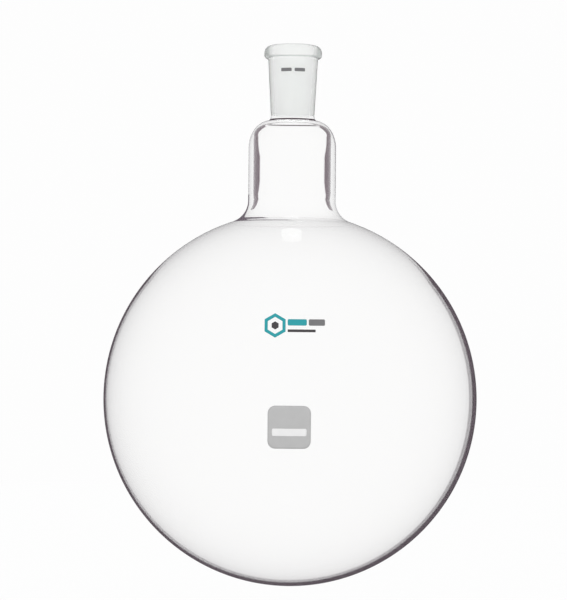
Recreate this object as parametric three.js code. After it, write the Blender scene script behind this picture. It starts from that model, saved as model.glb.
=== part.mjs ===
// Round bottom flask with one wide neck and a ground socket joint.
// Millimetres, +Z up. The origin is the lowest point of the bulb, on the axis of the flask.
// The fired enamel marks face -Y.
import * as THREE from "three";

// Driving dimensions of the glass
const BULB_RADIUS = 83;
const BULB_WALL = 1;
const NECK_RADIUS = 19.5;
const NECK_WALL = 2.2;
const ROOT_RADIUS = 10; // outside fillet between bulb and neck
const INNER_ROOT_RADIUS = 14; // wider inside, so the glass runs thin towards the bulb
const SHOULDER_BASE = 194.6; // height where the neck starts to close in
const INNER_SHOULDER_BASE = 198.6; // its bore starts higher, so the glass thins towards the top
const JOINT_BASE = 208.9; // narrow end of the ground socket
const RIM_BASE = 234.6;
const MOUTH_HEIGHT = 240.2;
const JOINT_BASE_RADIUS = 9.7; // outside
const JOINT_TOP_RADIUS = 11.1; // outside, under the rim
const MOUTH_RADIUS = 9.4; // bore at the wide end of the socket
const BORE_SLOPE = 0.05; // radius per height, the 1:10 cone of standard ground joints
const RIM_RADIUS = 12.85;

// Driving dimensions of the enamel
const ENAMEL_THICKNESS = 0.2;
const ENAMEL_GAP = 0.1;
const PATCH_SIDE = 17.5;
const PATCH_CORNER = 3.1;
const PATCH_HEIGHT = 75.4;
const EMBLEM_HEIGHT = 116.4;
const JOINT_MARK_HEIGHT = 228.7;

// Facets
const AROUND = 48;
const PATCH_RINGS = 5;
const CORNER_STEPS = 3;
const TOP_TILT = 82; // degrees round the shoulder at which the weld takes over

const CLEAR_GLASS = { color: 0xe9ecef, roughness: 0.03, metalness: 0, transparent: true, opacity: 0.3 };
const FROSTED_GLASS = { color: 0xe6e9e6, roughness: 0.55, metalness: 0, transparent: true, opacity: 0.8 };
const GREY_ENAMEL = { color: 0xbebfbe, roughness: 0.6, metalness: 0 };
const WHITE_ENAMEL = { color: 0xf8f8f8, roughness: 0.6, metalness: 0 };
const TEAL_ENAMEL = { color: 0x17a0aa, roughness: 0.55, metalness: 0 };
const MID_GREY_ENAMEL = { color: 0x77777a, roughness: 0.6, metalness: 0 };
const DARK_ENAMEL = { color: 0x4c484a, roughness: 0.6, metalness: 0 };

const flask = new THREE.Group();

function addPart(name, geometry, finish) {
  const mesh = new THREE.Mesh(geometry, new THREE.MeshStandardMaterial(finish));
  mesh.name = name;
  flask.add(mesh);
}

/** Points (radius, height) on an ellipse, from one angle to another in degrees, both ends included. */
function arc(centreRadius, centreHeight, radial, axial, from, to, steps) {
  const points = [];
  for (let i = 0; i <= steps; i += 1) {
    const angle = THREE.MathUtils.degToRad(from + ((to - from) * i) / steps);
    const radius = centreRadius + radial * Math.cos(angle);
    points.push(new THREE.Vector2(radius, centreHeight + axial * Math.sin(angle)));
  }
  return points;
}

/** A turned body from its outside outline, bottom to top, and its inside outline, bottom to top. */
function turned(outside, inside) {
  const outline = [...outside, ...inside.slice().reverse()];
  const startsOnAxis = Math.abs(outline[0].x) < 1e-6;
  if (!startsOnAxis) {
    outline.push(outline[0].clone());
  }
  return new THREE.LatheGeometry(outline, AROUND).rotateX(Math.PI / 2);
}

/** Where a fillet between the bulb and the neck has its centre, seen from the centre of the bulb. */
function filletCentre(bulbRadius, neckRadius, filletRadius) {
  const radius = neckRadius + filletRadius;
  const rise = Math.sqrt((bulbRadius + filletRadius) ** 2 - radius ** 2);
  return { radius, height: BULB_RADIUS + rise, tilt: THREE.MathUtils.radToDeg(Math.atan2(rise, radius)) };
}

const boreRadius = (height) => MOUTH_RADIUS - (MOUTH_HEIGHT - height) * BORE_SLOPE;

const innerBulbRadius = BULB_RADIUS - BULB_WALL;
const innerNeckRadius = NECK_RADIUS - NECK_WALL;
const outerFillet = filletCentre(BULB_RADIUS, NECK_RADIUS, ROOT_RADIUS);
const innerFillet = filletCentre(innerBulbRadius, innerNeckRadius, INNER_ROOT_RADIUS);
const bulbTop = innerFillet.tilt; // the bulb ends where the inner fillet, the wider one, leaves it
const neckBase = innerFillet.height; // both fillets have ended here

// Shoulder: quarter ellipses that close the neck in towards the joint
const shoulderCentre = 10.3;
const shoulderRise = 12.2;
const innerShoulderRise = 7.1;
const shoulderOutline = arc(
  shoulderCentre, SHOULDER_BASE, NECK_RADIUS - shoulderCentre, shoulderRise, 0, TOP_TILT, 8);
const innerShoulderOutline = [
  new THREE.Vector2(innerNeckRadius, SHOULDER_BASE),
  ...arc(
    shoulderCentre, INNER_SHOULDER_BASE, innerNeckRadius - shoulderCentre, innerShoulderRise, 0, TOP_TILT, 8),
];
const shoulderEnd = shoulderOutline.at(-1);
const innerShoulderEnd = innerShoulderOutline.at(-1);

/** From the lowest point of a sphere up to the neck, with a point on its widest ring. */
function sphereOutline(radius) {
  const lower = arc(0, BULB_RADIUS, radius, radius, -90, 0, 12);
  const upper = arc(0, BULB_RADIUS, radius, radius, 0, bulbTop, 10);
  return [...lower, ...upper.slice(1)];
}

function bulb() {
  return turned(sphereOutline(BULB_RADIUS), sphereOutline(innerBulbRadius));
}

/** The flared ring where the neck is fused to the bulb. */
function neckWeld() {
  const bulbOutside = arc(0, BULB_RADIUS, BULB_RADIUS, BULB_RADIUS, bulbTop, outerFillet.tilt, 1);
  const root = arc(
    outerFillet.radius, outerFillet.height, ROOT_RADIUS, ROOT_RADIUS, 180 + outerFillet.tilt, 180, 6);
  const innerRoot = arc(
    innerFillet.radius, innerFillet.height, INNER_ROOT_RADIUS, INNER_ROOT_RADIUS,
    180 + innerFillet.tilt, 180, 6);
  const outside = [...bulbOutside, ...root.slice(1), new THREE.Vector2(NECK_RADIUS, neckBase)];
  return turned(outside, innerRoot);
}

/** The straight neck. */
function neck() {
  const outside = [new THREE.Vector2(NECK_RADIUS, neckBase), shoulderOutline[0]];
  const inside = [new THREE.Vector2(innerNeckRadius, neckBase), innerShoulderOutline[0]];
  return turned(outside, inside);
}

function shoulder() {
  return turned(shoulderOutline, innerShoulderOutline);
}

/** The fused ring between shoulder and joint, curved upwards on both sides. */
function jointWeld() {
  const boreAtJoint = boreRadius(JOINT_BASE);
  const outside = arc(
    shoulderEnd.x, JOINT_BASE, shoulderEnd.x - JOINT_BASE_RADIUS, JOINT_BASE - shoulderEnd.y, 270, 180, 4);
  const inside = arc(
    innerShoulderEnd.x, JOINT_BASE, innerShoulderEnd.x - boreAtJoint, JOINT_BASE - innerShoulderEnd.y,
    270, 180, 6);
  return turned(outside, inside);
}

function groundJoint() {
  const outside = [
    new THREE.Vector2(JOINT_BASE_RADIUS, JOINT_BASE),
    new THREE.Vector2(JOINT_TOP_RADIUS, RIM_BASE),
  ];
  const inside = [
    new THREE.Vector2(boreRadius(JOINT_BASE), JOINT_BASE),
    new THREE.Vector2(boreRadius(RIM_BASE), RIM_BASE),
  ];
  return turned(outside, inside);
}

/** The tooled bead round the mouth: widest below its middle, with a narrow flat land on top. */
function jointRim() {
  const lowerRound = 1.5;
  const upperRise = 3.2;
  const upperReach = 2.6;
  const mouthRound = 0.4;
  const outside = [
    new THREE.Vector2(JOINT_TOP_RADIUS, RIM_BASE),
    ...arc(RIM_RADIUS - lowerRound, RIM_BASE + lowerRound, lowerRound, lowerRound, -90, 0, 4),
    ...arc(RIM_RADIUS - upperReach, MOUTH_HEIGHT - upperRise, upperReach, upperRise, 0, 90, 6),
  ];
  const inside = [
    new THREE.Vector2(boreRadius(RIM_BASE), RIM_BASE),
    ...arc(MOUTH_RADIUS + mouthRound, MOUTH_HEIGHT - mouthRound, mouthRound, mouthRound, 180, 90, 3),
  ];
  return turned(outside, inside);
}

/** Outline points of a rectangle with rounded corners, counter-clockwise, with extra points on each side. */
function roundedRectangle(width, height, corner, sideSteps) {
  const points = [];
  const quarters = [[1, 1], [-1, 1], [-1, -1], [1, -1]];
  quarters.forEach(([sx, sy], quarter) => {
    const cx = sx * (width / 2 - corner);
    const cy = sy * (height / 2 - corner);
    for (let i = 0; i <= CORNER_STEPS; i += 1) {
      const angle = ((quarter + i / CORNER_STEPS) * Math.PI) / 2;
      points.push(new THREE.Vector2(cx + corner * Math.cos(angle), cy + corner * Math.sin(angle)));
    }
  });
  return withSideSteps(points, sideSteps);
}

function hexagon(radius, sideSteps) {
  const corners = [];
  for (let i = 0; i < 6; i += 1) {
    const angle = ((i + 0.5) * Math.PI) / 3;
    corners.push(new THREE.Vector2(radius * Math.cos(angle), radius * Math.sin(angle)));
  }
  return withSideSteps(corners, sideSteps);
}

/** Splits every stretch of an outline that is long against its step count, so that it can follow a curve. */
function withSideSteps(points, sideSteps) {
  const longest = Math.max(...points.map((p, i) => p.distanceTo(points[(i + 1) % points.length])));
  return points.flatMap((p, i) => {
    const next = points[(i + 1) % points.length];
    const steps = Math.max(1, Math.round((sideSteps * p.distanceTo(next)) / longest));
    return Array.from({ length: steps }, (_, k) => p.clone().lerp(next, k / steps));
  });
}

/** A thin closed layer over a curved surface. surface(x, z, lift) gives the point at sideways place x and
 * height z, lifted off the glass. hole is the share of the outline that stays open in the middle. */
function enamel(outline, centreX, centreZ, surface, lift, hole = 0, rings = PATCH_RINGS) {
  const positions = [];
  const triangles = [];
  const count = outline.length;
  const firstRing = hole > 0 ? 0 : 1;
  const layers = [lift, lift + ENAMEL_THICKNESS].map((height) => {
    const layer = { start: positions.length / 3, middle: -1 };
    if (hole === 0) {
      layer.middle = layer.start;
      layer.start += 1;
      positions.push(...surface(centreX, centreZ, height));
    }
    for (let ring = firstRing; ring <= rings; ring += 1) {
      const share = hole + ((1 - hole) * ring) / rings;
      outline.forEach((p) => {
        positions.push(...surface(centreX + p.x * share, centreZ + p.y * share, height));
      });
    }
    return layer;
  });
  const lastRing = rings - firstRing;
  const at = (layer, ring, i) => layers[layer].start + ring * count + (i % count);
  const quad = (a, b, c, d) => triangles.push(a, b, c, a, c, d);
  for (let i = 0; i < count; i += 1) {
    for (let ring = 0; ring < lastRing; ring += 1) {
      quad(at(1, ring, i), at(1, ring + 1, i), at(1, ring + 1, i + 1), at(1, ring, i + 1));
      quad(at(0, ring, i), at(0, ring, i + 1), at(0, ring + 1, i + 1), at(0, ring + 1, i));
    }
    quad(at(0, lastRing, i), at(0, lastRing, i + 1), at(1, lastRing, i + 1), at(1, lastRing, i));
    if (hole > 0) {
      quad(at(0, 0, i + 1), at(0, 0, i), at(1, 0, i), at(1, 0, i + 1));
    } else {
      triangles.push(layers[1].middle, at(1, 0, i), at(1, 0, i + 1));
      triangles.push(layers[0].middle, at(0, 0, i + 1), at(0, 0, i));
    }
  }
  const geometry = new THREE.BufferGeometry();
  geometry.setAttribute("position", new THREE.Float32BufferAttribute(positions, 3));
  geometry.setIndex(triangles);
  geometry.computeVertexNormals();
  return geometry;
}

/** The front of the bulb. */
function onBulb(x, z, lift) {
  const radius = BULB_RADIUS + lift;
  const scale = radius / BULB_RADIUS;
  const rise = z - BULB_RADIUS;
  const depth = Math.sqrt(BULB_RADIUS ** 2 - x ** 2 - rise ** 2);
  return [x * scale, -depth * scale, BULB_RADIUS + rise * scale];
}

/** The front of the joint, where x runs round the glass. */
function onJoint(x, z, lift) {
  const share = (z - JOINT_BASE) / (RIM_BASE - JOINT_BASE);
  const surfaceRadius = THREE.MathUtils.lerp(JOINT_BASE_RADIUS, JOINT_TOP_RADIUS, share);
  const angle = x / surfaceRadius;
  const radius = surfaceRadius + lift;
  return [radius * Math.sin(angle), -radius * Math.cos(angle), z];
}

function bar(width, height, x, z, surface, lift = ENAMEL_GAP) {
  const outline = roundedRectangle(width, height, height * 0.2, Math.ceil(width / 2));
  return enamel(outline, x, z, surface, lift, 0, 2);
}

addPart("bulb", bulb(), CLEAR_GLASS);
addPart("neck_weld", neckWeld(), CLEAR_GLASS);
addPart("neck", neck(), CLEAR_GLASS);
addPart("shoulder", shoulder(), CLEAR_GLASS);
addPart("joint_weld", jointWeld(), CLEAR_GLASS);
addPart("ground_joint", groundJoint(), FROSTED_GLASS);
addPart("joint_rim", jointRim(), FROSTED_GLASS);

// Writing patch with a plain white band across it
const patchOutline = roundedRectangle(PATCH_SIDE, PATCH_SIDE, PATCH_CORNER, 6);
const overPatch = 2 * ENAMEL_GAP + ENAMEL_THICKNESS;
addPart("writing_patch", enamel(patchOutline, -0.5, PATCH_HEIGHT, onBulb, ENAMEL_GAP), GREY_ENAMEL);
addPart("writing_patch_band", bar(14, 3, -0.5, PATCH_HEIGHT - 2, onBulb, overPatch), WHITE_ENAMEL);

// Plain emblem: a hexagon ring with a dot, and three bars
const ringOutline = hexagon(4.9, 3);
const dotOutline = hexagon(1.6, 1);
addPart("emblem_ring", enamel(ringOutline, -6.6, EMBLEM_HEIGHT, onBulb, ENAMEL_GAP, 0.7, 1), TEAL_ENAMEL);
addPart("emblem_dot", enamel(dotOutline, -6.6, EMBLEM_HEIGHT, onBulb, ENAMEL_GAP, 0, 1), DARK_ENAMEL);
addPart("emblem_bar_teal", bar(7.8, 2.5, 2.4, EMBLEM_HEIGHT + 1.3, onBulb), TEAL_ENAMEL);
addPart("emblem_bar_grey", bar(6.6, 2.5, 10.4, EMBLEM_HEIGHT + 1.3, onBulb), MID_GREY_ENAMEL);
addPart("emblem_bar_dark", bar(11.4, 1, 4.2, EMBLEM_HEIGHT - 2.1, onBulb), DARK_ENAMEL);

// Two plain dashes on the joint, where its size is marked
addPart("joint_mark_left", bar(4.9, 1.5, -3.1, JOINT_MARK_HEIGHT, onJoint), MID_GREY_ENAMEL);
addPart("joint_mark_right", bar(4.9, 1.5, 3.1, JOINT_MARK_HEIGHT, onJoint), MID_GREY_ENAMEL);

export default flask;
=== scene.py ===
import math

import bpy
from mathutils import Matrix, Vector

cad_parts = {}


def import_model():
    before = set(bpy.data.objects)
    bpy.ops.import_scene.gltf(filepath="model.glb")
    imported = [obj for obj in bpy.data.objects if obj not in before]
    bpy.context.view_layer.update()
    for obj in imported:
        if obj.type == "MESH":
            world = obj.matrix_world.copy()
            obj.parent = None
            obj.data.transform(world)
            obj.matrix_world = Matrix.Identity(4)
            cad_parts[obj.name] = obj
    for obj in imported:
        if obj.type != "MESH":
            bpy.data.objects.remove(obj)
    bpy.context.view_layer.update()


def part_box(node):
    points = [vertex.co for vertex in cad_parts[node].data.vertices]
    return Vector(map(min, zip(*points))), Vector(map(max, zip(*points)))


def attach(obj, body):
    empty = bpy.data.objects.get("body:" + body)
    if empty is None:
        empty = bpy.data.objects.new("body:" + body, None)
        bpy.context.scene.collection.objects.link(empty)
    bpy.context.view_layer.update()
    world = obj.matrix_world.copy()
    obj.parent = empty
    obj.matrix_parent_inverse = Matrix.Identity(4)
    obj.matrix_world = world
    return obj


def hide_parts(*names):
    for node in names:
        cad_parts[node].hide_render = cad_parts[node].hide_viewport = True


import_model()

# ---------------------------------------------------------------- sizes, in metres and degrees
MM = 0.001
BULB_WALL = 1.0 * MM
BULB_UNEVEN = 0.3 * MM         # how much thinner the blown wall runs on its -X side
NECK_WALL = 2.2 * MM
ROOT_RADIUS = 10 * MM          # outside fillet between bulb and neck
INNER_ROOT_RADIUS = 14 * MM    # wider inside, so the glass runs thin towards the bulb
SHOULDER_CENTRE = 10.3 * MM    # from the axis to the middle of the shoulder's curve
SHOULDER_RISE = 12.2 * MM
INNER_SHOULDER_RISE = 7.1 * MM
INNER_SHOULDER_DELAY = 4 * MM  # the bore closes in later than the outside, so the glass thins out
TOP_TILT = 82                  # degrees round the shoulder at which the weld takes over
JOINT_BASE_RADIUS = 9.7 * MM
BORE_SLOPE = 0.05              # radius per height: the 1:10 cone of standard ground joints
MOUTH_RADIUS = 9.4 * MM
MOUTH_ROUND = 0.4 * MM
RIM_LOWER_ROUND = 1.5 * MM
RIM_UPPER_REACH = 2.6 * MM
RIM_UPPER_RISE = 3.2 * MM
SEAM_GAP = 0.01 * MM           # between the seam faces of neighbouring glass pieces
AROUND = 256                   # segments round the axis
ON_AXIS = 1e-9                 # a smaller radius counts as on the axis

PATCH_CORNER = 3.1 * MM
ENAMEL_LIFT = 0.03 * MM
ENAMEL_THICKNESS = 0.12 * MM
ENAMEL_GAP = 0.01 * MM         # between the patch and the band printed on it
ENAMEL_STEP = 0.8 * MM         # longest straight step along a mark's outline
HEXAGON_STEP = 0.5 * MM

CAMERA_DISTANCE = 0.88
CAMERA_HEIGHT = 0.1269
CAMERA_SIDE = -0.0033
CAMERA_ROLL = 0.54             # the flask leans this much to the right in the view
CAMERA_LENS = 118.2            # in millimetres

FLOOR_RADIUS = 0.5
FLOOR_DROP = 0.2 * MM

# ---------------------------------------------------------------- colours
IOR = 1.47                     # borosilicate glass
CLEAR_TINT = (0.982, 0.982, 0.98)
FROST_CLEAR = (0.97, 0.985, 0.97)
FROST_WHITE = (0.96, 0.975, 0.965)

# The studio has one colour for each kind of ray
BACKDROP_COLOUR = (0.985, 0.985, 0.985)
WINDOW_COLOUR = (1.045, 1.045, 1.045)
AROUND_COLOUR = (1.25, 1.25, 1.25)
GLOSS_COLOUR = (0.13, 0.12, 0.13)
INNER_REFLECTION_COLOUR = (1.0, 1.0, 1.0)
FAR_REFLECTION_COLOUR = (0.9, 0.89, 0.895)
FLOOR_COLOUR = (0.79, 0.79, 0.79)


# ---------------------------------------------------------------- sizes taken from the frame
def width(node):
    low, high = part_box(node)
    return high[0] - low[0]


def base(node):
    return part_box(node)[0][2]


BULB_RADIUS = width("bulb") / 2
NECK_RADIUS = width("shoulder") / 2
SHOULDER_BASE = base("shoulder")
JOINT_BASE = base("ground_joint")
JOINT_TOP_RADIUS = width("ground_joint") / 2
RIM_BASE = base("joint_rim")
RIM_RADIUS = width("joint_rim") / 2
MOUTH_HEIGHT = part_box("joint_rim")[1][2]
INNER_BULB_RADIUS = BULB_RADIUS - BULB_WALL
INNER_NECK_RADIUS = NECK_RADIUS - NECK_WALL
INNER_SHOULDER_BASE = SHOULDER_BASE + INNER_SHOULDER_DELAY


# ---------------------------------------------------------------- outlines
def arc(centre, radii, start, end, steps):
    """Points (radius, height) on an ellipse, angles in degrees, both ends included."""
    points = []
    for i in range(steps + 1):
        angle = math.radians(start + (end - start) * i / steps)
        points.append((centre[0] + radii[0] * math.cos(angle), centre[1] + radii[1] * math.sin(angle)))
    return points


def line(start, end, steps):
    """Points on a straight line, both ends included."""
    return [
        (start[0] + (end[0] - start[0]) * i / steps, start[1] + (end[1] - start[1]) * i / steps)
        for i in range(steps + 1)
    ]


def fillet_centre(bulb_radius, neck_radius, fillet_radius):
    """Centre of a fillet between bulb and neck, and the tilt in degrees at which it leaves the bulb."""
    radius = neck_radius + fillet_radius
    rise = math.sqrt((bulb_radius + fillet_radius) ** 2 - radius ** 2)
    return (radius, BULB_RADIUS + rise), math.degrees(math.atan2(rise, radius))


def bore_radius(height):
    return MOUTH_RADIUS - (MOUTH_HEIGHT - height) * BORE_SLOPE


def joined(*stretches):
    """One outline from stretches that meet, without doubled points. Also gives where each stretch ends."""
    points, ends = [], []
    for stretch in stretches:
        points += stretch[1:] if points else stretch
        ends.append(len(points) - 1)
    return points, ends


def outside_outline():
    """The outline from the lowest point of the bulb up to the mouth, and where each piece of it ends."""
    centre, radii = (0, BULB_RADIUS), (BULB_RADIUS, BULB_RADIUS)
    root, tilt = fillet_centre(BULB_RADIUS, NECK_RADIUS, ROOT_RADIUS)
    (_, neck_base), seam = fillet_centre(INNER_BULB_RADIUS, INNER_NECK_RADIUS, INNER_ROOT_RADIUS)
    bulb = arc(centre, radii, -90, seam, 120)
    neck_weld = arc(centre, radii, seam, tilt, 2)
    neck_weld += arc(root, (ROOT_RADIUS, ROOT_RADIUS), 180 + tilt, 180, 32)[1:]
    neck_weld += line(neck_weld[-1], (NECK_RADIUS, neck_base), 3)[1:]
    neck = line(neck_weld[-1], (NECK_RADIUS, SHOULDER_BASE), 20)
    shoulder_radii = (NECK_RADIUS - SHOULDER_CENTRE, SHOULDER_RISE)
    shoulder = arc((SHOULDER_CENTRE, SHOULDER_BASE), shoulder_radii, 0, TOP_TILT, 36)
    corner = shoulder[-1]
    reach = (corner[0] - JOINT_BASE_RADIUS, JOINT_BASE - corner[1])
    joint_weld = arc((corner[0], JOINT_BASE), reach, 270, 180, 16)
    joint = line(joint_weld[-1], (JOINT_TOP_RADIUS, RIM_BASE), 24)
    lower = (RIM_RADIUS - RIM_LOWER_ROUND, RIM_BASE + RIM_LOWER_ROUND)
    upper = (RIM_RADIUS - RIM_UPPER_REACH, MOUTH_HEIGHT - RIM_UPPER_RISE)
    rim = line(joint[-1], (lower[0], RIM_BASE), 3)
    rim += arc(lower, (RIM_LOWER_ROUND, RIM_LOWER_ROUND), -90, 0, 14)[1:]
    rim += arc(upper, (RIM_UPPER_REACH, RIM_UPPER_RISE), 0, 90, 24)
    return joined(bulb, neck_weld, neck, shoulder, joint_weld, joint, rim)


def inside_outline():
    """The same from the inside."""
    radii = (INNER_BULB_RADIUS, INNER_BULB_RADIUS)
    root, seam = fillet_centre(INNER_BULB_RADIUS, INNER_NECK_RADIUS, INNER_ROOT_RADIUS)
    bulb = arc((0, BULB_RADIUS), radii, -90, seam, 120)
    neck_weld = arc(root, (INNER_ROOT_RADIUS, INNER_ROOT_RADIUS), 180 + seam, 180, 36)
    neck = line(neck_weld[-1], (INNER_NECK_RADIUS, SHOULDER_BASE), 20)
    shoulder_radii = (INNER_NECK_RADIUS - SHOULDER_CENTRE, INNER_SHOULDER_RISE)
    shoulder = line(neck[-1], (INNER_NECK_RADIUS, INNER_SHOULDER_BASE), 8)
    shoulder += arc((SHOULDER_CENTRE, INNER_SHOULDER_BASE), shoulder_radii, 0, TOP_TILT, 36)[1:]
    corner = shoulder[-1]
    reach = (corner[0] - bore_radius(JOINT_BASE), JOINT_BASE - corner[1])
    joint_weld = arc((corner[0], JOINT_BASE), reach, 270, 180, 24)
    joint = line(joint_weld[-1], (bore_radius(RIM_BASE), RIM_BASE), 24)
    mouth = (MOUTH_RADIUS + MOUTH_ROUND, MOUTH_HEIGHT - MOUTH_ROUND)
    rim = line(joint[-1], (MOUTH_RADIUS, mouth[1]), 5)
    rim += arc(mouth, (MOUTH_ROUND, MOUTH_ROUND), 180, 90, 8)[1:]
    return joined(bulb, neck_weld, neck, shoulder, joint_weld, joint, rim)


def outline_normals(points, side):
    """Unit normals along an outline. side is 1 for the outside of the glass and -1 for the inside."""
    normals = []
    for i, point in enumerate(points):
        before = points[max(i - 1, 0)]
        after = points[min(i + 1, len(points) - 1)]
        dr, dz = after[0] - before[0], after[1] - before[1]
        size = math.hypot(dr, dz)
        normals.append((side * dz / size, -side * dr / size))
        if point[0] < ON_AXIS:
            normals[-1] = (0.0, -float(side))
    return normals


# ---------------------------------------------------------------- glass meshes
def new_object(name, vertices, faces, materials, slots, normals=None):
    mesh = bpy.data.meshes.new(name)
    mesh.from_pydata(vertices, [], faces)
    for material in materials:
        mesh.materials.append(material)
    mesh.polygons.foreach_set("material_index", slots)
    mesh.polygons.foreach_set("use_smooth", [True] * len(faces))
    if normals is not None:
        mesh.normals_split_custom_set(normals)
    mesh.update()
    piece = bpy.data.objects.new(name, mesh)
    bpy.context.scene.collection.objects.link(piece)
    return piece


def bulb_shift(height):
    """How far the bulb's inside lies off the axis, along X. It fades out towards the bottom and the neck."""
    share = max(0.0, 1 - ((height - BULB_RADIUS) / INNER_BULB_RADIUS) ** 2)
    return -BULB_UNEVEN * share * share


def no_shift(height):
    return 0.0


def turned_vertices(ring, shift):
    """Vertices of the ring of outline points turned round the axis, and the first vertex of each point."""
    vertices, starts = [], []
    for (radius, height), _, side in ring:
        starts.append(len(vertices))
        if radius < ON_AXIS:
            vertices.append((0.0, 0.0, height))
            continue
        aside = shift(height) if side == 1 else 0.0
        for k in range(AROUND):
            angle = 2 * math.pi * k / AROUND
            vertices.append((radius * math.cos(angle) + aside, radius * math.sin(angle), height))
    return vertices, starts


def turned(name, outside, inside, materials, shift):
    """A closed glass body from its outside and inside stretches of (point, normal), bottom to top.
    materials are for the outside, the inside and the seam faces."""
    ring = [(p, n, 0) for p, n in outside] + [(p, n, 1) for p, n in reversed(inside)]
    is_pole = [point[0] < ON_AXIS for point, _, _ in ring]
    vertices, starts = turned_vertices(ring, shift)
    faces, slots, normals = [], [], []

    def corner(i, k):
        return starts[i] if is_pole[i] else starts[i] + k % AROUND

    def normal(i, k):
        _, (nr, nz), _ = ring[i]
        angle = 2 * math.pi * k / AROUND
        return (nr * math.cos(angle), nr * math.sin(angle), nz)

    for i in range(len(ring) - 1 if is_pole[0] else len(ring)):
        j = (i + 1) % len(ring)
        is_seam = ring[i][2] != ring[j][2]
        for k in range(AROUND):
            face, loops = [], []
            for row, column in ((i, k), (i, k + 1), (j, k + 1), (j, k)):
                vertex = corner(row, column)
                if vertex not in face:
                    face.append(vertex)
                    loops.append(normal(row, k + 0.5 if is_pole[row] else column))
            if is_seam:
                a, b, c = (Vector(vertices[v]) for v in face[:3])
                loops = [tuple((b - a).cross(c - a).normalized())] * len(face)
            faces.append(face)
            slots.append(2 if is_seam else ring[i][2])
            normals += loops
    return new_object(name, vertices, faces, materials, slots, normals)


def slid(outline, start, end, low_gap, high_gap):
    """A stretch of an outline, as (point, normal). Where asked, its end is drawn in by half a seam gap."""
    points, normals = outline
    stretch = [list(points[i]) for i in range(start, end + 1)]
    for index, inner, is_on in ((0, 1, low_gap), (-1, -2, high_gap)):
        if is_on:
            here, there = Vector(stretch[index]), Vector(stretch[inner])
            stretch[index] = list(here + (there - here).normalized() * SEAM_GAP / 2)
    return [(tuple(p), normals[start + i]) for i, p in enumerate(stretch)]


def glass_pieces(materials):
    """One glass body for each CAD node in materials, which lists them from the bottom up."""
    outer_points, outer_ends = outside_outline()
    inner_points, inner_ends = inside_outline()
    outer = (outer_points, outline_normals(outer_points, 1))
    inner = (inner_points, outline_normals(inner_points, -1))
    pieces = {}
    outer_start, inner_start = 0, 0
    for place, name in enumerate(materials):
        has_below, has_above = place > 0, place < len(materials) - 1
        outside = slid(outer, outer_start, outer_ends[place], has_below, has_above)
        inside = slid(inner, inner_start, inner_ends[place], has_below, has_above)
        shift = bulb_shift if name == "bulb" else no_shift
        piece = turned(name + "_glass", outside, inside, materials[name], shift)
        piece.visible_shadow = False
        piece.visible_diffuse = False
        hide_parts(name)
        pieces[name] = piece
        outer_start, inner_start = outer_ends[place], inner_ends[place]
    return pieces


# ---------------------------------------------------------------- enamel marks
def with_side_steps(points, step):
    """Splits the long stretches of an outline, so that it can follow a curved surface."""
    out = []
    for i, p in enumerate(points):
        q = points[(i + 1) % len(points)]
        count = max(1, round(math.dist(p, q) / step))
        out += [(p[0] + (q[0] - p[0]) * k / count, p[1] + (q[1] - p[1]) * k / count) for k in range(count)]
    return out


def rounded_rectangle(size_x, size_z, corner, steps=8):
    points = []
    for quarter, (sx, sz) in enumerate(((1, 1), (-1, 1), (-1, -1), (1, -1))):
        for i in range(steps + 1):
            angle = (quarter + i / steps) * math.pi / 2
            points.append((
                sx * (size_x / 2 - corner) + corner * math.cos(angle),
                sz * (size_z / 2 - corner) + corner * math.sin(angle),
            ))
    return with_side_steps(points, ENAMEL_STEP)


def hexagon(radius):
    angles = [(i + 0.5) * math.pi / 3 for i in range(6)]
    return with_side_steps([(radius * math.cos(a), radius * math.sin(a)) for a in angles], HEXAGON_STEP)


def on_bulb(x, z, lift):
    """The point of the bulb's front that is seen at x and z, lifted off the glass."""
    scale = (BULB_RADIUS + lift) / BULB_RADIUS
    rise = z - BULB_RADIUS
    depth = math.sqrt(BULB_RADIUS ** 2 - x ** 2 - rise ** 2)
    return (x * scale, -depth * scale, BULB_RADIUS + rise * scale)


def on_joint(x, z, lift):
    """The same on the joint, with x measured round its surface."""
    share = (z - JOINT_BASE) / (RIM_BASE - JOINT_BASE)
    surface = JOINT_BASE_RADIUS + (JOINT_TOP_RADIUS - JOINT_BASE_RADIUS) * share
    angle = x / surface
    return ((surface + lift) * math.sin(angle), -(surface + lift) * math.cos(angle), z)


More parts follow.
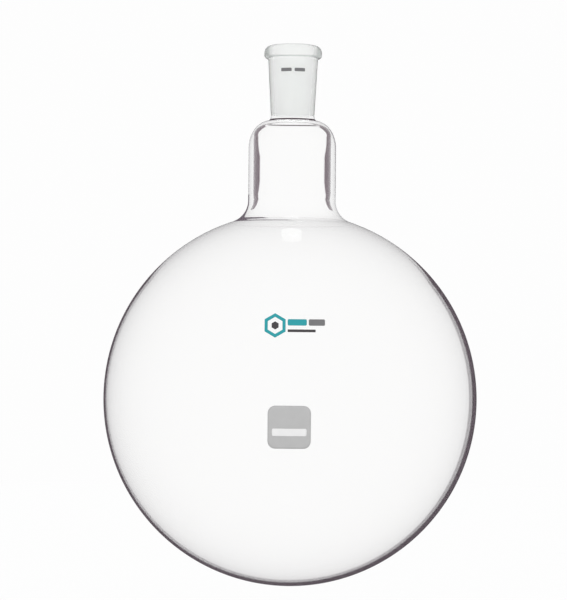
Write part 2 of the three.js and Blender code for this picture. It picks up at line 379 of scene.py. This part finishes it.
def enamel(node, outline, surface, material, lift=ENAMEL_LIFT, hole=0.0, rings=10):
    """A thin closed layer of enamel in place of a CAD mark. hole is the share of the outline that stays
    open in the middle. The outer face slopes down to half the thickness at its edges."""
    low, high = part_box(node)
    centre_x, centre_z = (low[0] + high[0]) / 2, (low[2] + high[2]) / 2
    count = len(outline)
    first = 0 if hole > 0 else 1
    shares = [hole + (1 - hole) * ring / rings for ring in range(first, rings + 1)]
    last = len(shares) - 1
    vertices, faces, starts, middles = [], [], [], []
    for level, height in enumerate((lift, lift + ENAMEL_THICKNESS)):
        middles.append(len(vertices))
        if hole == 0:
            vertices.append(surface(centre_x, centre_z, height))
        starts.append(len(vertices))
        for place, share in enumerate(shares):
            is_edge = level == 1 and (place == last or (hole > 0 and place == 0))
            drop = ENAMEL_THICKNESS / 2 if is_edge else 0.0
            for x, z in outline:
                vertices.append(surface(centre_x + x * share, centre_z + z * share, height - drop))

    def at(level, place, k):
        return starts[level] + place * count + k % count

    for k in range(count):
        for place in range(last):
            faces.append((at(1, place, k), at(1, place + 1, k), at(1, place + 1, k + 1), at(1, place, k + 1)))
            faces.append((at(0, place, k), at(0, place, k + 1), at(0, place + 1, k + 1), at(0, place + 1, k)))
        faces.append((at(0, last, k), at(0, last, k + 1), at(1, last, k + 1), at(1, last, k)))
        if hole > 0:
            faces.append((at(0, 0, k + 1), at(0, 0, k), at(1, 0, k), at(1, 0, k + 1)))
        else:
            faces.append((middles[1], at(1, 0, k), at(1, 0, k + 1)))
            faces.append((middles[0], at(0, 0, k + 1), at(0, 0, k)))
    piece = new_object(node + "_enamel", vertices, faces, [material], [0] * len(faces))
    piece.visible_glossy = False
    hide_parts(node)
    return piece


def box_size(node):
    """A node's size along X and Z."""
    low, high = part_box(node)
    return high[0] - low[0], high[2] - low[2]


def patch(node, surface, material):
    outline = rounded_rectangle(*[box_size(node)[0]] * 2, PATCH_CORNER)
    return enamel(node, outline, surface, material)


def bar(node, surface, material, lift=ENAMEL_LIFT):
    size_x, size_z = box_size(node)
    outline = rounded_rectangle(size_x, size_z, 0.2 * size_z, 4)
    return enamel(node, outline, surface, material, lift)


def printed_bar(node, surface, material):
    """A bar printed on the patch instead of on the glass."""
    return bar(node, surface, material, ENAMEL_LIFT + ENAMEL_THICKNESS + ENAMEL_GAP)


def six_sided(node, surface, material, hole=0.0):
    return enamel(node, hexagon(box_size(node)[1] / 2), surface, material, hole=hole, rings=4)


def six_sided_ring(node, surface, material):
    return six_sided(node, surface, material, hole=0.7)


# ---------------------------------------------------------------- nodes
def new_material(name):
    material = bpy.data.materials.new(name)
    material.use_nodes = True
    nodes = material.node_tree.nodes
    nodes.clear()
    output = nodes.new("ShaderNodeOutputMaterial")
    return material, nodes, material.node_tree.links, output


def set_input(links, socket, value):
    """Gives an input a number, a colour or another node's output."""
    if isinstance(value, tuple):
        socket.default_value = (*value, 1)
    elif isinstance(value, (int, float)):
        socket.default_value = value
    else:
        links.new(value, socket)


def calculated(nodes, links, operation, *values):
    node = nodes.new("ShaderNodeMath")
    node.operation = operation
    for socket, value in zip(node.inputs, values):
        set_input(links, socket, value)
    return node.outputs[0]


def mapped(nodes, links, value, source=(0.0, 1.0), target=(0.0, 1.0)):
    """Maps one range of a value to another, and holds it inside that."""
    node = nodes.new("ShaderNodeMapRange")
    node.inputs["From Min"].default_value, node.inputs["From Max"].default_value = source
    node.inputs["To Min"].default_value, node.inputs["To Max"].default_value = target
    links.new(value, node.inputs["Value"])
    return node.outputs["Result"]


def mixed_colour(nodes, links, share, first, second):
    node = nodes.new("ShaderNodeMix")
    node.data_type = "RGBA"
    set_input(links, node.inputs["Factor"], share)
    set_input(links, node.inputs["A"], first)
    set_input(links, node.inputs["B"], second)
    return node.outputs["Result"]


def mixed_shader(nodes, links, share, first, second):
    node = nodes.new("ShaderNodeMixShader")
    set_input(links, node.inputs["Fac"], share)
    links.new(first.outputs[0], node.inputs[1])
    links.new(second.outputs[0], node.inputs[2])
    return node


def noise(nodes, links, scale, detail):
    place = nodes.new("ShaderNodeTexCoord")
    texture = nodes.new("ShaderNodeTexNoise")
    texture.inputs["Scale"].default_value = scale
    texture.inputs["Detail"].default_value = detail
    links.new(place.outputs["Object"], texture.inputs["Vector"])
    return texture.outputs["Fac"]


def bump(nodes, links, height, distance, strength):
    node = nodes.new("ShaderNodeBump")
    node.inputs["Distance"].default_value = distance
    node.inputs["Strength"].default_value = strength
    links.new(height, node.inputs["Height"])
    return node.outputs["Normal"]


def value_by_height(nodes, links, z, heights):
    """A value that changes up the flask, from pairs of a height in millimetres and a value."""
    low, high = heights[0][0], heights[-1][0]
    curve = nodes.new("ShaderNodeFloatCurve")
    points = curve.mapping.curves[0].points
    points[0].location = (0.0, heights[0][1])
    points[-1].location = (1.0, heights[-1][1])
    for height, value in heights[1:-1]:
        points.new((height - low) / (high - low), value)
    for point in points:
        point.handle_type = "VECTOR"
    curve.mapping.update()
    links.new(mapped(nodes, links, z, (low * MM, high * MM)), curve.inputs["Value"])
    return curve.outputs[0]


# ---------------------------------------------------------------- materials
def edge_share(nodes, links, start, width, uneven):
    """The share of painted edge shade: 0 where the glass faces the viewer, rising to 1 over width once it is
    turned away by start. start is a number, or pairs of a height and a number. uneven lets the painted shade
    start sooner towards +X."""
    place = nodes.new("ShaderNodeTexCoord")
    split = nodes.new("ShaderNodeSeparateXYZ")
    links.new(place.outputs["Object"], split.inputs[0])
    facing = nodes.new("ShaderNodeLayerWeight")
    facing.inputs["Blend"].default_value = 0.5
    turned_away = facing.outputs["Facing"]
    if uneven:
        sideways = split.outputs["X"]
        turned_away = calculated(nodes, links, "MULTIPLY_ADD", sideways, uneven / BULB_RADIUS, turned_away)
    if isinstance(start, list):
        start = value_by_height(nodes, links, split.outputs["Z"], start)
    beyond = calculated(nodes, links, "SUBTRACT", turned_away, start)
    return mapped(nodes, links, beyond, (0.0, width))


def hide_from_reflections(nodes, links, shader):
    """Reflections see the studio straight through this surface, so that no ghost images show."""
    path = nodes.new("ShaderNodeLightPath")
    is_reflected = calculated(nodes, links, "GREATER_THAN", path.outputs["Glossy Depth"], 0.5)
    clear = nodes.new("ShaderNodeBsdfTransparent")
    return mixed_shader(nodes, links, is_reflected, shader, clear)


def with_painted_dark_core(nodes, links, glass, edge, colour, start, amount):
    """Mixes a plain dark colour into the glass as painted shade, from start of its deepening painted edge
    shade onwards.
    """
    dark = nodes.new("ShaderNodeBsdfDiffuse")
    dark.inputs["Color"].default_value = (*colour, 1)
    share = mapped(nodes, links, edge, (start, 1.0), (0.0, amount))
    return mixed_shader(nodes, links, share, glass, dark)


def clear_glass(name, edge_shade_colour=None, start=0.0, width=0.0, uneven=0.0, glow=(0.45, 0.83), core=0.0):
    """Clear glass, faintly grey and faintly wavy. With an edge shade colour, painted shade deepens it to that
    colour where it is seen edge on, as edge_share says, and on the way it is a painted light grey glow: glow
    gives how far on, and how light. core is how much of the deepest part is a plain dark colour of painted
    shade, which no light from behind brightens."""
    material, nodes, links, output = new_material(name)
    shader = nodes.new("ShaderNodeBsdfPrincipled")
    shader.inputs["Transmission Weight"].default_value = 1.0
    shader.inputs["IOR"].default_value = IOR
    shader.inputs["Roughness"].default_value = 0.0
    shader.inputs["Base Color"].default_value = (*CLEAR_TINT, 1)
    waves = noise(nodes, links, 28.0, 1.0)
    links.new(bump(nodes, links, waves, 0.4 * MM, 0.02), shader.inputs["Normal"])
    if edge_shade_colour:
        edge = edge_share(nodes, links, start, width, uneven)
        glow_start, grey = glow
        # The ramp paints shade: from the glass's own tint, through a painted light grey glow, to the dark
        # edge shade colour
        ramp = nodes.new("ShaderNodeValToRGB")
        ramp.color_ramp.elements[0].color = (*CLEAR_TINT, 1)
        ramp.color_ramp.elements[1].color = (*edge_shade_colour, 1)
        ramp.color_ramp.elements.new(glow_start).color = (grey, grey * 0.985, grey * 0.995, 1)
        links.new(edge, ramp.inputs["Fac"])
        links.new(ramp.outputs["Color"], shader.inputs["Base Color"])
        if core:
            shader = with_painted_dark_core(nodes, links, shader, edge, edge_shade_colour, glow_start, core)
    surface = hide_from_reflections(nodes, links, shader)
    links.new(surface.outputs[0], output.inputs["Surface"])
    return material


def ground_glass():
    """Glass ground to a fine white frost, as inside a joint. Most light spreads as it passes."""
    material, nodes, links, output = new_material("ground_glass")
    grain = noise(nodes, links, 900.0, 4.0)
    clear = nodes.new("ShaderNodeBsdfPrincipled")
    clear.inputs["Transmission Weight"].default_value = 1.0
    clear.inputs["IOR"].default_value = IOR
    clear.inputs["Base Color"].default_value = (*FROST_CLEAR, 1)
    links.new(mapped(nodes, links, grain, target=(0.45, 0.6)), clear.inputs["Roughness"])
    frost = nodes.new("ShaderNodeBsdfTranslucent")
    frost.inputs["Color"].default_value = (*FROST_WHITE, 1)
    powder = nodes.new("ShaderNodeBsdfDiffuse")
    powder.inputs["Color"].default_value = (*FROST_WHITE, 1)
    relief = bump(nodes, links, grain, 0.05 * MM, 0.3)
    for shader in (clear, frost, powder):
        links.new(relief, shader.inputs["Normal"])
    spread_light = mixed_shader(nodes, links, 0.35, frost, powder)
    surface = mixed_shader(nodes, links, 0.6, clear, spread_light)
    links.new(surface.outputs[0], output.inputs["Surface"])
    return material


def seam_material():
    """The faces where fused pieces meet. Light passes them unbent, as inside one body of glass."""
    material, nodes, links, output = new_material("fused_seam")
    shader = nodes.new("ShaderNodeBsdfTransparent")
    links.new(shader.outputs[0], output.inputs["Surface"])
    return material


def enamel_material(name, colour, roughness=0.5):
    """Fired enamel: a matte colour with faint clouds and a fine grain."""
    material, nodes, links, output = new_material(name)
    shader = nodes.new("ShaderNodeBsdfPrincipled")
    darker = tuple(c * 0.93 for c in colour)
    lighter = tuple(min(1.0, c * 1.05) for c in colour)
    cloud = noise(nodes, links, 260.0, 4.0)
    links.new(mixed_colour(nodes, links, cloud, darker, lighter), shader.inputs["Base Color"])
    grain = noise(nodes, links, 2500.0, 3.0)
    gloss = mapped(nodes, links, grain, target=(roughness - 0.08, roughness + 0.08))
    links.new(gloss, shader.inputs["Roughness"])
    links.new(bump(nodes, links, grain, 0.02 * MM, 0.4), shader.inputs["Normal"])
    links.new(shader.outputs[0], output.inputs["Surface"])
    return material


# ---------------------------------------------------------------- studio
def world():
    """Plain white surroundings, which are also the only light. Rays that pass through the glass or light
    a matt surface meet white, and so do reflections inside the glass. Reflections on the outside of the
    glass meet dark grey, which keeps them dim."""
    studio = bpy.data.worlds.new("studio")
    bpy.context.scene.world = studio
    studio.use_nodes = True
    nodes, links = studio.node_tree.nodes, studio.node_tree.links
    nodes.clear()
    path = nodes.new("ShaderNodeLightPath").outputs

    def over(value, limit=0.5):
        return calculated(nodes, links, "GREATER_THAN", value, limit)

    def either(test, when_not, when):
        return mixed_colour(nodes, links, test, when_not, when)

    inner = either(over(path["Transmission Depth"], 1.5), INNER_REFLECTION_COLOUR, FAR_REFLECTION_COLOUR)
    reflected = either(over(path["Transmission Depth"]), GLOSS_COLOUR, inner)
    colour = either(path["Is Transmission Ray"], AROUND_COLOUR, WINDOW_COLOUR)
    colour = either(over(path["Glossy Depth"]), colour, reflected)
    colour = either(over(path["Diffuse Depth"]), colour, AROUND_COLOUR)
    colour = either(path["Is Camera Ray"], colour, BACKDROP_COLOUR)
    surroundings = nodes.new("ShaderNodeBackground")
    links.new(colour, surroundings.inputs["Color"])
    output = nodes.new("ShaderNodeOutputWorld")
    links.new(surroundings.outputs[0], output.inputs["Surface"])


def floor():
    """A plain round floor, which shows neither through the glass nor in its reflections."""
    material, nodes, links, output = new_material("floor_white")
    shader = nodes.new("ShaderNodeBsdfPrincipled")
    shader.inputs["Base Color"].default_value = (*FLOOR_COLOUR, 1)
    shader.inputs["Roughness"].default_value = 0.9
    shader.inputs["Specular IOR Level"].default_value = 0.0
    links.new(shader.outputs[0], output.inputs["Surface"])
    count = 96
    angles = [2 * math.pi * k / count for k in range(count)]
    edge = [(FLOOR_RADIUS * math.cos(a), FLOOR_RADIUS * math.sin(a), 0.0) for a in angles]
    ground = new_object("floor", edge, [list(range(count))], [material], [0])
    ground.location = (0, 0, -FLOOR_DROP)
    ground.visible_transmission = False
    ground.visible_glossy = False


def camera():
    data = bpy.data.cameras.new("camera")
    data.lens = CAMERA_LENS
    data.clip_start, data.clip_end = 0.01, 100
    eye = bpy.data.objects.new("camera", data)
    bpy.context.scene.collection.objects.link(eye)
    eye.location = (CAMERA_SIDE, -CAMERA_DISTANCE, CAMERA_HEIGHT)
    eye.rotation_euler = (math.radians(90), math.radians(-CAMERA_ROLL), 0)
    bpy.context.scene.camera = eye


def render_settings():
    """Plain colours, and enough bounces for light to pass every layer of glass."""
    scene = bpy.context.scene
    scene.view_settings.view_transform = "Standard"
    scene.cycles.max_bounces = 32
    scene.cycles.transmission_bounces = 32
    scene.cycles.glossy_bounces = 16
    scene.cycles.transparent_max_bounces = 64
    scene.cycles.use_denoising = True


# ---------------------------------------------------------------- build
camera()
world()
floor()
render_settings()

# Heights are in millimetres. A start of 1 means no painted edge shade at that height, apart from what uneven
# adds.
CLEAR = clear_glass("clear_glass")
# Painted shade: a dark edge round the bulb with a painted light grey glow inside it, deeper towards +X,
# fading out towards the neck
BULB = clear_glass(
    "bulb_glass", (0.05, 0.035, 0.045), width=0.12, uneven=0.03, glow=(0.76, 0.89), core=0.5,
    start=[(0, 0.70), (135, 0.72), (150, 0.86), (157, 1.0), (166.5, 1.0)])
# Two thin lines of painted shade round the root, which fade out towards +X
ROOT_OUTSIDE = clear_glass(
    "root_outside_glass", (0.10, 0.08, 0.10), width=0.06, uneven=-1.1, core=0.7,
    start=[(161.0, 0.68), (161.7, 0.68), (161.9, 1.0), (162.3, 1.0), (162.5, 0.68), (163.0, 0.68),
           (163.2, 1.0), (175.0, 1.0)])
# Painted shade along the neck's outside edges, deeper towards +X, and over most of the glass above 206 mm
NECK_OUTSIDE = clear_glass(
    "neck_outside_glass", (0.2, 0.18, 0.2), width=0.07, uneven=0.5,
    start=[(170, 1.0), (174, 0.93), (188, 0.91), (195, 0.87), (202.5, 0.87), (206.1, 1.0),
           (206.2, 0.2), (209.5, 0.2)])
# The dark band inside the neck is painted shade, widest halfway up and pointed at both ends
NECK_INSIDE = clear_glass(
    "neck_inside_glass", (0.12, 0.085, 0.105), width=0.06, core=0.9,
    start=[(160.0, 1.0), (167.2, 0.97), (167.9, 0.74), (169.2, 0.59), (171.4, 0.53), (173.7, 0.50),
           (175.9, 0.45), (180.0, 0.41), (191.5, 0.41), (194.6, 0.46), (198.2, 0.50), (202.2, 0.50),
           (204.0, 0.56), (204.9, 0.64), (205.7, 0.85), (206.1, 1.0), (209.5, 1.0)])
# The thin line of painted shade where the joint is fused on
WELD_OUTSIDE = clear_glass(
    "weld_outside_glass", (0.05, 0.035, 0.042), width=0.05, core=0.95,
    start=[(206.0, 0.0), (207.3, 0.0), (207.5, 1.0), (209.5, 1.0)])
# Painted shade: a grey-green darkening towards the joint's edges
JOINT_OUTSIDE = clear_glass("joint_outside_glass", (0.34, 0.36, 0.34), start=0.02, width=0.82)
# Painted shade: darkest in the crease under the bead, lighter up the bead, and deeper towards its edges
RIM_OUTSIDE = clear_glass(
    "rim_outside_glass", (0.3, 0.32, 0.31), width=0.42,
    start=[(234.6, 0.0), (235.1, 0.0), (235.5, 0.06), (237.5, 0.08), (239.0, 0.30), (240.2, 0.55)])
GROUND = ground_glass()
SEAM = seam_material()

# From the bottom up: the materials of the outside, the inside and the seams
GLASS = {
    "bulb": [BULB, BULB, SEAM],
    "neck_weld": [ROOT_OUTSIDE, NECK_INSIDE, SEAM],
    "neck": [NECK_OUTSIDE, NECK_INSIDE, SEAM],
    "shoulder": [NECK_OUTSIDE, NECK_INSIDE, SEAM],
    "joint_weld": [WELD_OUTSIDE, NECK_INSIDE, SEAM],
    "ground_joint": [JOINT_OUTSIDE, GROUND, SEAM],
    "joint_rim": [RIM_OUTSIDE, GROUND, CLEAR],
}
pieces = glass_pieces(GLASS)

ENAMEL = {
    "grey_enamel": enamel_material("grey_enamel", (0.46, 0.46, 0.46)),
    "white_enamel": enamel_material("white_enamel", (0.78, 0.78, 0.78)),
    "teal_enamel": enamel_material("teal_enamel", (0.01, 0.32, 0.36), 0.45),
    "mid_grey_enamel": enamel_material("mid_grey_enamel", (0.17, 0.17, 0.175)),
    "dark_enamel": enamel_material("dark_enamel", (0.067, 0.06, 0.064)),
}
marks = []
for node, shape, surface, slot in (
    ("writing_patch", patch, on_bulb, "grey_enamel"),
    ("writing_patch_band", printed_bar, on_bulb, "white_enamel"),
    ("emblem_ring", six_sided_ring, on_bulb, "teal_enamel"),
    ("emblem_dot", six_sided, on_bulb, "dark_enamel"),
    ("emblem_bar_teal", bar, on_bulb, "teal_enamel"),
    ("emblem_bar_grey", bar, on_bulb, "mid_grey_enamel"),
    ("emblem_bar_dark", bar, on_bulb, "dark_enamel"),
    ("joint_mark_left", bar, on_joint, "mid_grey_enamel"),
    ("joint_mark_right", bar, on_joint, "mid_grey_enamel"),
):
    mark = shape(node, surface, ENAMEL[slot])
    marks.append(mark)

for piece in [*pieces.values(), *marks]:
    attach(piece, "root")
